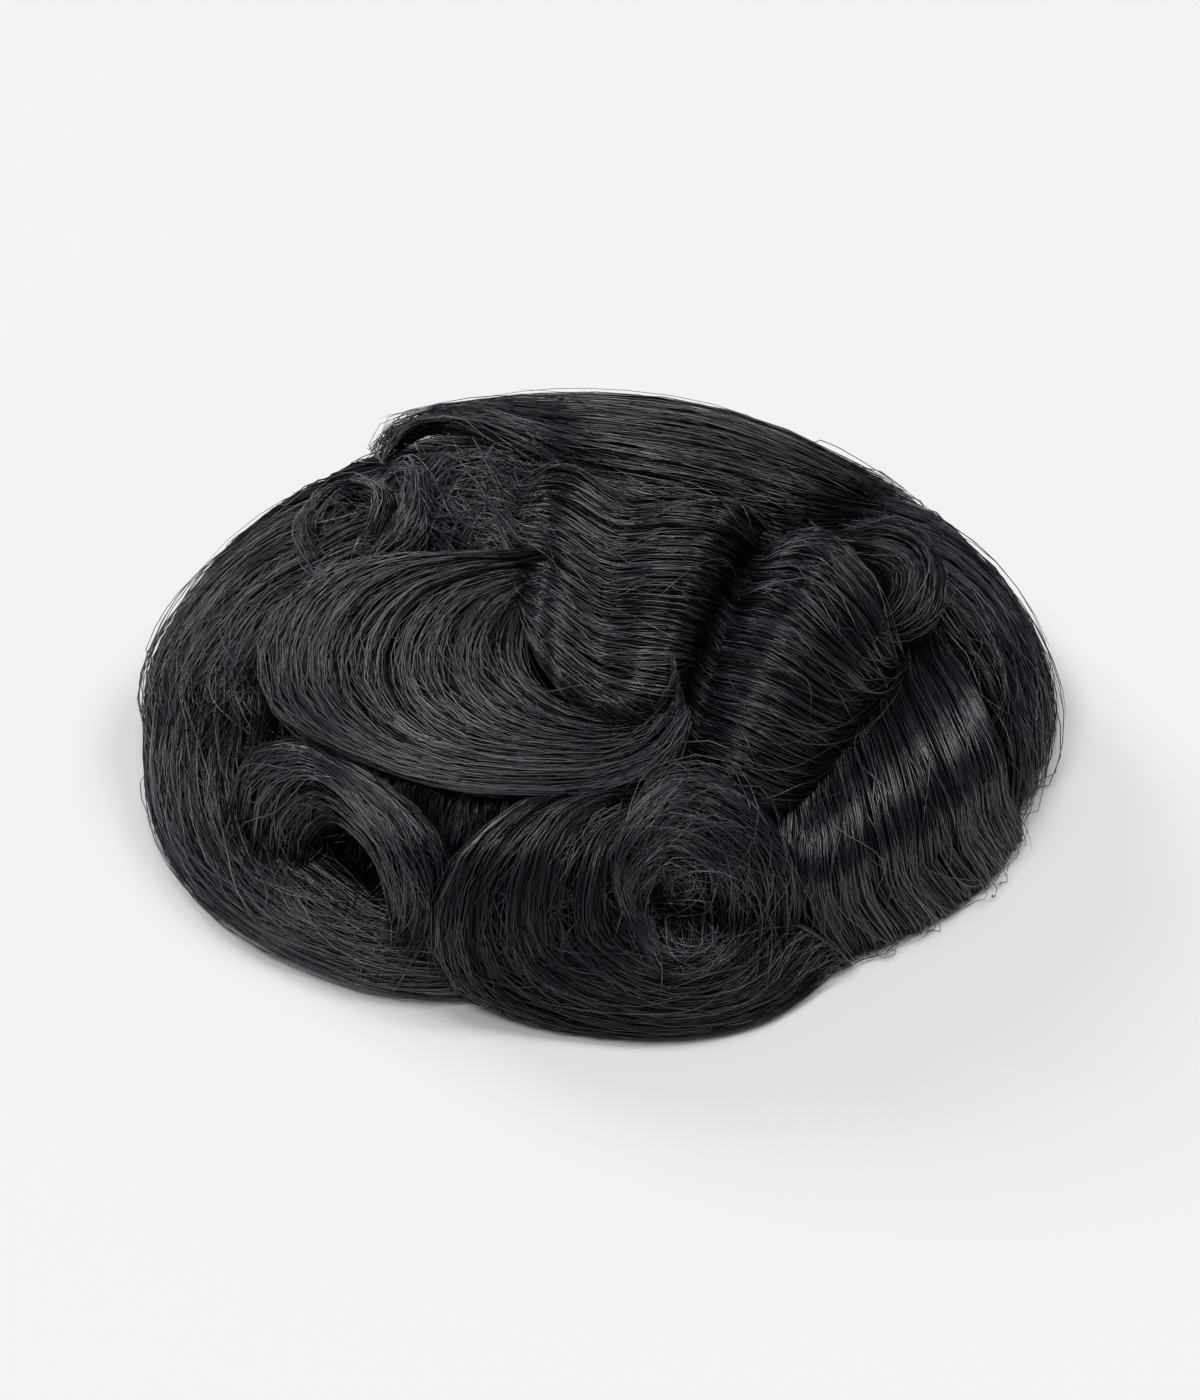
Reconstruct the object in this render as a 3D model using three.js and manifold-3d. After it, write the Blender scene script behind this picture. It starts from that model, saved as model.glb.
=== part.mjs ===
// Toupee hairpiece: a thin domed cap with short flat hair all over it and swept, curled locks on top.
// Millimetres, +Z up, forehead edge towards -Y, resting on the rim of the cap at Z = 0.
import * as THREE from "three";
import Module from "manifold-3d";

// Driving sizes
const CAP_HALF_WIDTH = 104;
const CAP_HALF_LENGTH = 88;
const CAP_HEIGHT = 62;
const CAP_WALL = 1.5;
const HAIR_DEPTH = 24; // rise of a full lock above the cap
const UNDER_HAIR_RISE = 5;
const GAP = 0.3; // clearance between neighbouring pieces

// Shape of every lock, as shares
const RIM_TUCK = 0.1; // rise lost at the rim, where a lock rolls under
const TUCK_FROM = 0.9; // radius at which that begins
const EDGE_ROUND = 0.3; // rise lost along both edges, away from the rim
const EDGE_WIDTH = 0.07; // width of that rounding, of the width across
const CUTTER_RISE = 1.5 * HAIR_DEPTH;
const LEAST_HEIGHT = 3; // millimetres of lock left above the under hair where it runs out

// Facets round the cap and from its top to its rim
const SECTORS = 30;
const RINGS = 7;

// Each lock is a table of sections across its strands, from their root to their tip. A section names its
// inner edge, middle and outer edge on the dome map, where [0, 0] is the top of the cap, the unit circle
// is its rim, the first number runs to the right and the second to the back. Then comes its rise, as a
// share of the hair depth, and where the lock hangs free, the rise of its underside. Locks are listed from
// the top layer down: a lock is cut away under those before it.
const section = (inner, middle, outer, rise, underside = 0) => ({ inner, middle, outer, rise, underside });

const LOCKS = [
  {
    name: "right_hook",
    profile: [0.9, 1.0, 0.95],
    cells: [7, 3],
    sections: [
      section([0.38, -0.075], [0.395, -0.02], [0.435, 0.075], 0.85),
      section([0.42, -0.095], [0.455, -0.035], [0.515, 0.06], 1.0),
      section([0.435, -0.115], [0.485, -0.08], [0.555, -0.045], 1.0),
      section([0.44, -0.13], [0.485, -0.14], [0.55, -0.135], 0.85),
      section([0.435, -0.145], [0.46, -0.18], [0.49, -0.205], 0.62),
    ],
  },
  {
    name: "front_curl_core",
    profile: [0.75, 0.97, 1.0],
    cells: [10, 4],
    sections: [
      section([0.11, -0.8], [0.25, -0.805], [0.385, -0.8], 0.75),
      section([0.11, -0.78], [0.23, -0.73], [0.335, -0.69], 0.95),
      section([0.105, -0.77], [0.185, -0.675], [0.25, -0.595], 1.0),
      section([0.1, -0.76], [0.12, -0.645], [0.14, -0.545], 1.0),
      section([0.09, -0.76], [0.08, -0.68], [0.06, -0.595], 1.0),
      section([0.085, -0.78], [0.05, -0.735], [0.015, -0.69], 0.95),
      section([0.09, -0.805], [0.065, -0.8], [0.04, -0.8], 0.75),
    ],
  },
  {
    name: "front_curl",
    profile: [0.7, 1.0, 0.98],
    cells: [12, 6],
    sections: [
      section([0.14, -0.62], [0.04, -0.585], [-0.06, -0.575], 0.6),
      section([0.075, -0.68], [-0.055, -0.63], [-0.17, -0.63], 0.95),
      section([0.07, -0.75], [-0.11, -0.73], [-0.27, -0.73], 1.05),
      section([0.08, -0.8], [-0.115, -0.84], [-0.29, -0.88], 1.07),
      section([0.1, -0.83], [-0.005, -0.915], [-0.13, -0.992], 1.14),
      section([0.135, -0.84], [0.13, -0.925], [0.09, -0.998], 1.28),
      section([0.18, -0.825], [0.255, -0.895], [0.3, -0.956], 1.24),
      section([0.23, -0.8], [0.36, -0.84], [0.46, -0.89], 0.88),
    ],
  },
  {
    name: "left_front_curl",
    profile: [0.55, 1.0, 0.9],
    cells: [9, 4],
    sections: [
      section([-0.54, -0.65], [-0.595, -0.585], [-0.67, -0.46], 0.8),
      section([-0.505, -0.61], [-0.535, -0.53], [-0.57, -0.4], 1.0),
      section([-0.455, -0.595], [-0.45, -0.51], [-0.455, -0.44], 1.05),
      section([-0.42, -0.62], [-0.385, -0.57], [-0.355, -0.53], 1.05),
      section([-0.395, -0.675], [-0.34, -0.65], [-0.285, -0.62], 1.0),
      section([-0.4, -0.74], [-0.335, -0.73], [-0.265, -0.72], 0.9),
      section([-0.42, -0.78], [-0.365, -0.8], [-0.305, -0.82], 0.75),
    ],
  },
  {
    name: "left_front_fall",
    profile: [0.75, 1.0, 0.98],
    cells: [11, 5],
    sections: [
      section([-0.565, -0.36], [-0.75, -0.22], [-0.99, -0.08], 0.82),
      section([-0.6, -0.48], [-0.8, -0.37], [-0.97, -0.25], 0.95),
      section([-0.57, -0.6], [-0.74, -0.55], [-0.89, -0.455], 1.1),
      section([-0.51, -0.68], [-0.64, -0.68], [-0.77, -0.637], 1.18),
      section([-0.46, -0.74], [-0.54, -0.78], [-0.61, -0.792], 1.12),
      section([-0.4, -0.78], [-0.41, -0.85], [-0.43, -0.902], 1.1),
      section([-0.32, -0.82], [-0.28, -0.9], [-0.22, -0.975], 0.88),
    ],
  },
  {
    name: "crown_swirl",
    profile: [0.45, 0.95, 1.0],
    cells: [14, 5],
    sections: [
      section([-0.09, -0.15], [-0.1, -0.14], [-0.12, -0.12], 0.6),
      section([-0.11, -0.19], [-0.18, -0.15], [-0.28, -0.1], 0.8),
      section([-0.12, -0.23], [-0.28, -0.18], [-0.43, -0.09], 0.9),
      section([-0.13, -0.29], [-0.34, -0.26], [-0.53, -0.19], 1.0),
      section([-0.12, -0.34], [-0.36, -0.35], [-0.53, -0.34], 1.0),
      section([-0.1, -0.38], [-0.32, -0.44], [-0.42, -0.46], 1.0),
      section([-0.055, -0.425], [-0.23, -0.51], [-0.25, -0.56], 0.95),
      section([0.01, -0.45], [-0.085, -0.54], [-0.07, -0.595], 0.85),
      section([0.07, -0.445], [0.025, -0.53], [0.06, -0.575], 0.75),
      section([0.1, -0.4], [0.1, -0.47], [0.13, -0.51], 0.6),
    ],
  },
  {
    name: "right_wave",
    profile: [0.85, 1.0, 0.9],
    cells: [8, 6],
    sections: [
      section([0.15, -0.55], [0.17, -0.3], [0.29, 0.03], 0.4),
      section([0.2, -0.59], [0.24, -0.35], [0.35, 0.01], 0.95),
      section([0.26, -0.6], [0.33, -0.39], [0.44, -0.06], 0.88),
      section([0.31, -0.6], [0.4, -0.39], [0.49, -0.14], 0.66),
      section([0.36, -0.58], [0.46, -0.34], [0.52, -0.18], 0.42),
    ],
  },
  {
    name: "right_fall",
    profile: [0.9, 1.0, 0.95],
    cells: [11, 6],
    sections: [
      section([0.33, -0.55], [0.47, -0.33], [0.59, -0.08], 0.45),
      section([0.33, -0.64], [0.49, -0.46], [0.64, -0.22], 0.85),
      section([0.34, -0.72], [0.53, -0.55], [0.71, -0.31], 1.0),
      section([0.38, -0.8], [0.6, -0.62], [0.79, -0.37], 0.88),
      section([0.43, -0.875], [0.72, -0.65], [0.9, -0.38], 0.95),
      section([0.45, -0.893], [0.75, -0.66], [0.925, -0.37], 0.95),
    ],
  },
  {
    name: "centre_wave",
    profile: [0.9, 1.0, 0.9],
    cells: [10, 5],
    sections: [
      section([0.14, -0.49], [0.19, -0.22], [0.29, 0.04], 0.35),
      section([0.09, -0.51], [0.13, -0.25], [0.21, 0.03], 0.86),
      section([0.04, -0.49], [0.06, -0.25], [0.12, 0.04], 0.86),
      section([-0.01, -0.44], [0.0, -0.23], [0.04, 0.06], 0.68),
      section([-0.06, -0.39], [-0.07, -0.18], [-0.04, 0.12], 0.86),
      section([-0.1, -0.31], [-0.12, -0.12], [-0.12, 0.14], 0.6),
    ],
  },
  {
    name: "left_ringlet",
    profile: [0.5, 1.0, 0.9],
    cells: [8, 3],
    sections: [
      section([-0.375, 0.03], [-0.35, 0.005], [-0.33, -0.02], 0.75),
      section([-0.365, 0.07], [-0.34, 0.08], [-0.315, 0.09], 0.8),
      section([-0.4, 0.1], [-0.4, 0.135], [-0.4, 0.17], 0.85),
      section([-0.43, 0.07], [-0.455, 0.08], [-0.48, 0.09], 0.8),
      section([-0.425, 0.03], [-0.45, 0.005], [-0.475, -0.02], 0.7),
    ],
  },
  {
    name: "crown_ringlet",
    profile: [0.8, 1.0, 0.8],
    cells: [8, 3],
    sections: [
      section([-0.37, 0.14], [-0.365, 0.18], [-0.36, 0.22], 0.6),
      section([-0.32, 0.13], [-0.3, 0.165], [-0.28, 0.2], 0.75),
      section([-0.305, 0.06], [-0.275, 0.07], [-0.245, 0.08], 0.85),
      section([-0.315, 0.01], [-0.285, -0.01], [-0.255, -0.03], 0.8),
      section([-0.34, -0.01], [-0.33, -0.045], [-0.32, -0.08], 0.65),
    ],
  },
  {
    name: "back_crest",
    profile: [0.9, 1.0, 0.95],
    cells: [11, 5],
    sections: [
      section([0.42, 0.08], [0.45, 0.25], [0.48, 0.42], 0.64),
      section([0.29, 0.02], [0.31, 0.26], [0.33, 0.49], 0.7),
      section([0.16, 0.03], [0.17, 0.28], [0.18, 0.53], 0.75),
      section([0.0, 0.06], [0.0, 0.3], [0.0, 0.54], 0.78),
      section([-0.12, 0.17], [-0.13, 0.36], [-0.14, 0.54], 0.8, 0.25),
      section([-0.24, 0.38], [-0.26, 0.45], [-0.28, 0.52], 0.82, 0.62),
      section([-0.35, 0.4], [-0.37, 0.44], [-0.39, 0.48], 0.84, 0.62),
    ],
  },
  {
    name: "crown_tuft",
    profile: [0.9, 1.0, 0.9],
    cells: [6, 4],
    sections: [
      section([-0.06, -0.1], [-0.05, 0.05], [-0.03, 0.22], 0.5),
      section([-0.11, -0.12], [-0.11, 0.01], [-0.1, 0.22], 0.7),
      section([-0.17, -0.11], [-0.18, 0.02], [-0.18, 0.22], 0.78),
      section([-0.24, -0.05], [-0.25, 0.06], [-0.26, 0.22], 0.75),
      section([-0.29, 0.05], [-0.3, 0.12], [-0.31, 0.22], 0.6),
    ],
  },
  {
    name: "left_side_wave",
    profile: [0.8, 1.0, 0.95],
    cells: [9, 6],
    sections: [
      section([-0.31, -0.09], [-0.34, 0.08], [-0.37, 0.25], 0.6),
      section([-0.42, -0.13], [-0.47, 0.05], [-0.52, 0.26], 0.68),
      section([-0.5, -0.165], [-0.58, 0.02], [-0.66, 0.24], 0.72),
      section([-0.55, -0.24], [-0.67, -0.05], [-0.8, 0.19], 0.8),
      section([-0.56, -0.32], [-0.74, -0.14], [-0.93, 0.08], 0.88),
      section([-0.59, -0.375], [-0.78, -0.24], [-0.99, -0.08], 0.82),
    ],
  },
  {
    name: "right_rear_fall",
    profile: [0.9, 1.0, 0.95],
    cells: [10, 5],
    sections: [
      section([0.34, 0.0], [0.38, 0.12], [0.42, 0.22], 0.5),
      section([0.46, -0.04], [0.52, 0.11], [0.56, 0.26], 0.68),
      section([0.57, -0.1], [0.65, 0.08], [0.7, 0.25], 0.78),
      section([0.66, -0.2], [0.78, 0.0], [0.85, 0.2], 0.82),
      section([0.75, -0.32], [0.89, -0.09], [0.95, 0.12], 0.83),
      section([0.86, -0.5], [0.98, -0.18], [0.998, 0.05], 0.83),
    ],
  },
  {
    name: "back_left_fall",
    profile: [0.85, 1.0, 0.9],
    cells: [9, 7],
    sections: [
      section([0.02, 0.3], [-0.18, 0.3], [-0.36, 0.14], 0.42),
      section([0.03, 0.48], [-0.3, 0.42], [-0.6, 0.14], 0.48),
      section([0.04, 0.66], [-0.42, 0.56], [-0.79, 0.1], 0.72),
      section([0.05, 0.84], [-0.51, 0.69], [-0.92, 0.03], 0.86),
      section([0.05, 0.998], [-0.59, 0.806], [-0.998, -0.05], 0.84),
    ],
  },
  {
    name: "back_right_fall",
    profile: [0.85, 1.0, 0.9],
    cells: [9, 7],
    sections: [
      section([0.0, 0.3], [0.24, 0.28], [0.42, 0.12], 0.5),
      section([0.01, 0.48], [0.34, 0.42], [0.62, 0.14], 0.64),
      section([0.02, 0.66], [0.45, 0.55], [0.8, 0.12], 0.76),
      section([0.03, 0.84], [0.53, 0.69], [0.93, 0.06], 0.86),
      section([0.03, 0.998], [0.6, 0.8], [0.998, -0.03], 0.84),
    ],
  },
];

// Point on the dome map raised square to the cap
function domePoint(x, y, rise) {
  const reach = Math.hypot(x, y);
  const scale = reach > 1 ? 1 / reach : 1;
  const radius = Math.max(Math.min(reach, 1), 1e-6);
  const angle = (radius * Math.PI) / 2;
  const spread = (Math.sin(angle) / radius) * scale;
  const point = new THREE.Vector3(
    CAP_HALF_WIDTH * spread * x,
    CAP_HALF_LENGTH * spread * y,
    radius >= 1 ? 0 : CAP_HEIGHT * Math.cos(angle),
  );
  const outward = new THREE.Vector3(
    point.x / CAP_HALF_WIDTH ** 2,
    point.y / CAP_HALF_LENGTH ** 2,
    point.z / CAP_HEIGHT ** 2,
  );
  return point.addScaledVector(outward.normalize(), rise);
}

// Smooth curve through the given rows of numbers, at share t of its length
function curveAt(rows, t) {
  const place = t * (rows.length - 1);
  const i = Math.max(Math.min(Math.floor(place), rows.length - 2), 0);
  const f = place - i;
  return rows[i].map((from, k) => {
    const to = rows[i + 1][k];
    const before = i > 0 ? rows[i - 1][k] : 2 * from - to;
    const after = i + 2 < rows.length ? rows[i + 2][k] : 2 * to - from;
    const bend = f * (to - before) + f * f * (2 * before - 5 * from + 4 * to - after);
    return 0.5 * (2 * from + bend + f * f * f * (3 * from - before - 3 * to + after));
  });
}

// Value at share u of the way across, through the values at both edges and the middle
const blendAcross = (inner, middle, outer, u) =>
  inner * (1 - u) * (1 - 2 * u) + middle * 4 * u * (1 - u) + outer * u * (2 * u - 1);

// Closed solid from two grids of points, the lower grid lying under the upper
function slab(upper, lower) {
  const rows = upper.length;
  const columns = upper[0].length;
  const points = [...upper.flat(), ...lower.flat()];
  const top = (i, j) => i * columns + j;
  const bottom = (i, j) => (rows + i) * columns + j;
  const faces = [];
  const quad = (a, b, c, d) => faces.push([a, b, c], [a, c, d]);
  for (let i = 0; i + 1 < rows; i++) {
    for (let j = 0; j + 1 < columns; j++) {
      quad(top(i, j), top(i + 1, j), top(i + 1, j + 1), top(i, j + 1));
      quad(bottom(i, j), bottom(i, j + 1), bottom(i + 1, j + 1), bottom(i + 1, j));
    }
    const end = columns - 1;
    quad(top(i, 0), bottom(i, 0), bottom(i + 1, 0), top(i + 1, 0));
    quad(top(i + 1, end), bottom(i + 1, end), bottom(i, end), top(i, end));
  }
  for (let j = 0; j + 1 < columns; j++) {
    const end = rows - 1;
    quad(top(0, j + 1), bottom(0, j + 1), bottom(0, j), top(0, j));
    quad(top(end, j), bottom(end, j), bottom(end, j + 1), top(end, j + 1));
  }
  return { points, faces };
}

// Solid dome with a flat underside at Z = 0
function dome(rise) {
  const points = [domePoint(0, 0, rise)];
  const faces = [];
  const on = (ring, sector) => 1 + (ring - 1) * SECTORS + (sector % SECTORS);
  for (let ring = 1; ring <= RINGS; ring++) {
    for (let sector = 0; sector < SECTORS; sector++) {
      const turn = (sector / SECTORS) * 2 * Math.PI;
      const radius = ring / RINGS;
      points.push(domePoint(radius * Math.cos(turn), radius * Math.sin(turn), rise));
    }
  }
  const centre = points.push(new THREE.Vector3()) - 1;
  for (let sector = 0; sector < SECTORS; sector++) {
    faces.push([0, on(1, sector), on(1, sector + 1)]);
    faces.push([centre, on(RINGS, sector + 1), on(RINGS, sector)]);
    for (let ring = 1; ring < RINGS; ring++) {
      faces.push([on(ring, sector), on(ring + 1, sector), on(ring + 1, sector + 1)]);
      faces.push([on(ring, sector), on(ring + 1, sector + 1), on(ring, sector + 1)]);
    }
  }
  return { points, faces };
}

// Shares across a lock, with narrow cells along both edges for the rounding
function sharesAcross(cells) {
  const inside = Array.from({ length: cells - 1 }, (_, j) => {
    return EDGE_WIDTH + ((1 - 2 * EDGE_WIDTH) * j) / (cells - 2);
  });
  return [0, ...inside, 1];
}

// Lock from its table. As a cutter it is larger all round by the gap and as tall as any lock.
function lockSlab(lock, isCutter) {
  const margin = isCutter ? GAP : 0;
  const [alongCells, acrossCells] = lock.cells;
  const rows = lock.sections.map((s) => [...s.inner, ...s.middle, ...s.outer, s.rise, s.underside]);
  const reach = (2 * margin) / CAP_HALF_LENGTH;
  const length = rows.slice(1).reduce((sum, row, i) => {
    return sum + Math.hypot(row[2] - rows[i][2], row[3] - rows[i][3]);
  }, 0);
  const upper = [];
  const lower = [];
  for (let i = 0; i <= alongCells; i++) {
    const share = i / alongCells;
    const t = share + ((share === 1) - (share === 0)) * (reach / length);
    const [ix, iy, mx, my, ox, oy, rise, underside] = curveAt(rows, t);
    const side = reach / Math.hypot(ox - ix, oy - iy);
    const topRow = [];
    const lowRow = [];
    for (const share of sharesAcross(acrossCells + 2)) {
      const u = share + (2 * share - 1) * side;
      const x = blendAcross(ix, mx, ox, u);
      const y = blendAcross(iy, my, oy, u);
      const radius = Math.min(Math.hypot(x, y), 1);
      const tuck = Math.max(radius - TUCK_FROM, 0) / (1 - TUCK_FROM);
      const border = share === 0 || share === 1;
      const lost = border ? EDGE_ROUND + tuck * (RIM_TUCK - EDGE_ROUND) : RIM_TUCK * tuck;
      const height = HAIR_DEPTH * rise * blendAcross(...lock.profile, share) * (1 - lost);
      const low = HAIR_DEPTH * Math.max(underside, 0);
      const least = Math.max(UNDER_HAIR_RISE, low) + LEAST_HEIGHT;
      topRow.push(domePoint(x, y, isCutter ? CUTTER_RISE : Math.max(height, least)));
      lowRow.push(domePoint(x, y, low - margin));
    }
    upper.push(topRow);
    lower.push(lowRow);
  }
  return slab(upper, lower);
}

const wasm = await Module();
wasm.setup();

// Manifold solid that faces outward, from points and faces
function solid({ points, faces }) {
  let volume = 0;
  for (const [a, b, c] of faces) {
    volume += points[a].dot(new THREE.Vector3().crossVectors(points[b], points[c]));
  }
  const turned = volume < 0 ? faces.map(([a, b, c]) => [a, c, b]) : faces;
  return new wasm.Manifold(
    new wasm.Mesh({
      numProp: 3,
      vertProperties: new Float32Array(points.flatMap((p) => p.toArray())),
      triVerts: new Uint32Array(turned.flat()),
    }),
  );
}

const largest = (body) =>
  body.decompose().reduce((best, piece) => (piece.volume() > best.volume() ? piece : best));

function meshOf(name, body, colour, roughness) {
  const { vertProperties, triVerts } = body.getMesh();
  const geometry = new THREE.BufferGeometry();
  geometry.setAttribute("position", new THREE.BufferAttribute(new Float32Array(vertProperties), 3));
  geometry.setIndex(new THREE.BufferAttribute(new Uint32Array(triVerts), 1));
  geometry.computeVertexNormals();
  const material = new THREE.MeshStandardMaterial({ color: colour, roughness, metalness: 0 });
  const mesh = new THREE.Mesh(geometry, material);
  mesh.name = name;
  return mesh;
}

const hairpiece = new THREE.Group();
hairpiece.name = "hairpiece";

const cap = solid(dome(0)).subtract(solid(dome(-CAP_WALL)));
hairpiece.add(meshOf("base_cap", cap, "#2c2622", 0.8));

const underHair = solid(dome(UNDER_HAIR_RISE)).subtract(solid(dome(GAP)));
hairpiece.add(meshOf("under_hair", underHair, "#161413", 0.6));

const beneath = solid(dome(UNDER_HAIR_RISE + GAP)).translate([0, 0, -0.1 * GAP]);
const above = [];
for (const lock of LOCKS) {
  let body = solid(lockSlab(lock, false)).subtract(beneath).trimByPlane([0, 0, 1], 0);
  for (const cover of above) body = body.subtract(cover);
  hairpiece.add(meshOf(lock.name, largest(body), "#1a1817", 0.5));
  above.push(solid(lockSlab(lock, true)).add(body));
}

const box = new THREE.Box3().setFromObject(hairpiece);
const middle = box.getCenter(new THREE.Vector3());
for (const mesh of hairpiece.children) mesh.geometry.translate(-middle.x, -middle.y, -box.min.z);

export default hairpiece;
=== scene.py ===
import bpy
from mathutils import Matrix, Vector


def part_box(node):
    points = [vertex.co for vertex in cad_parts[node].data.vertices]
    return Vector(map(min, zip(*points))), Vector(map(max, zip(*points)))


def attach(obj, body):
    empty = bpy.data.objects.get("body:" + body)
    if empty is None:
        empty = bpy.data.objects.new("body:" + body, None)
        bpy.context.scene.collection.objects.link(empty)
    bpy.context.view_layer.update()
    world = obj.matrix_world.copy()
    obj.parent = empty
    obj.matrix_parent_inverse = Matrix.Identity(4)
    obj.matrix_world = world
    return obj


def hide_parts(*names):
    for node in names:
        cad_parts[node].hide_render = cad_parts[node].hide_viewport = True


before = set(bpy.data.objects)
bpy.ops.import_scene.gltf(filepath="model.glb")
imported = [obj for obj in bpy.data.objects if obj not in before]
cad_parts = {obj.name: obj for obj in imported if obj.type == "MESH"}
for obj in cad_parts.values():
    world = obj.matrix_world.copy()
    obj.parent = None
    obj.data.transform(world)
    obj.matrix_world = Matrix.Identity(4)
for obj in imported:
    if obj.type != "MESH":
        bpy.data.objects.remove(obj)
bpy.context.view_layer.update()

import math

import bpy
import numpy as np
from bpy.props import FloatProperty, FloatVectorProperty, IntProperty, PointerProperty
from mathutils import Vector

bl_info = {
    "name": "Toupee hairpiece",
    "version": (1, 0, 0),
    "blender": (4, 5, 0),
    "location": "3D View > Sidebar > Hairpiece",
    "description": "Combs the locks of a black toupee over its domed cap",
    "category": "Object",
}

# The cap as it was packed gives the dome that every lock is combed over
CAP_LOW, CAP_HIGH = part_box("base_cap")
DOME_MIDDLE = ((CAP_LOW[0] + CAP_HIGH[0]) / 2, (CAP_LOW[1] + CAP_HIGH[1]) / 2)
DOME_HALF = (CAP_HIGH[0] - DOME_MIDDLE[0], CAP_HIGH[1] - DOME_MIDDLE[1], CAP_HIGH[2])
UNDER_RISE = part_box("under_hair")[1][2] - CAP_HIGH[2]


# Lock tables, the same ones that the solids are lofted through. A section names its inner edge, middle and
# outer edge on the dome map, where (0, 0) is the top of the cap, the unit circle is its rim, the first number
# runs to the right and the second to the back, then the rise as a share of the hair depth and, where a lock
# hangs free, the rise of its underside.
def section(inner, middle, outer, rise, underside=0.0):
    return (*inner, *middle, *outer, rise, underside)


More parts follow.
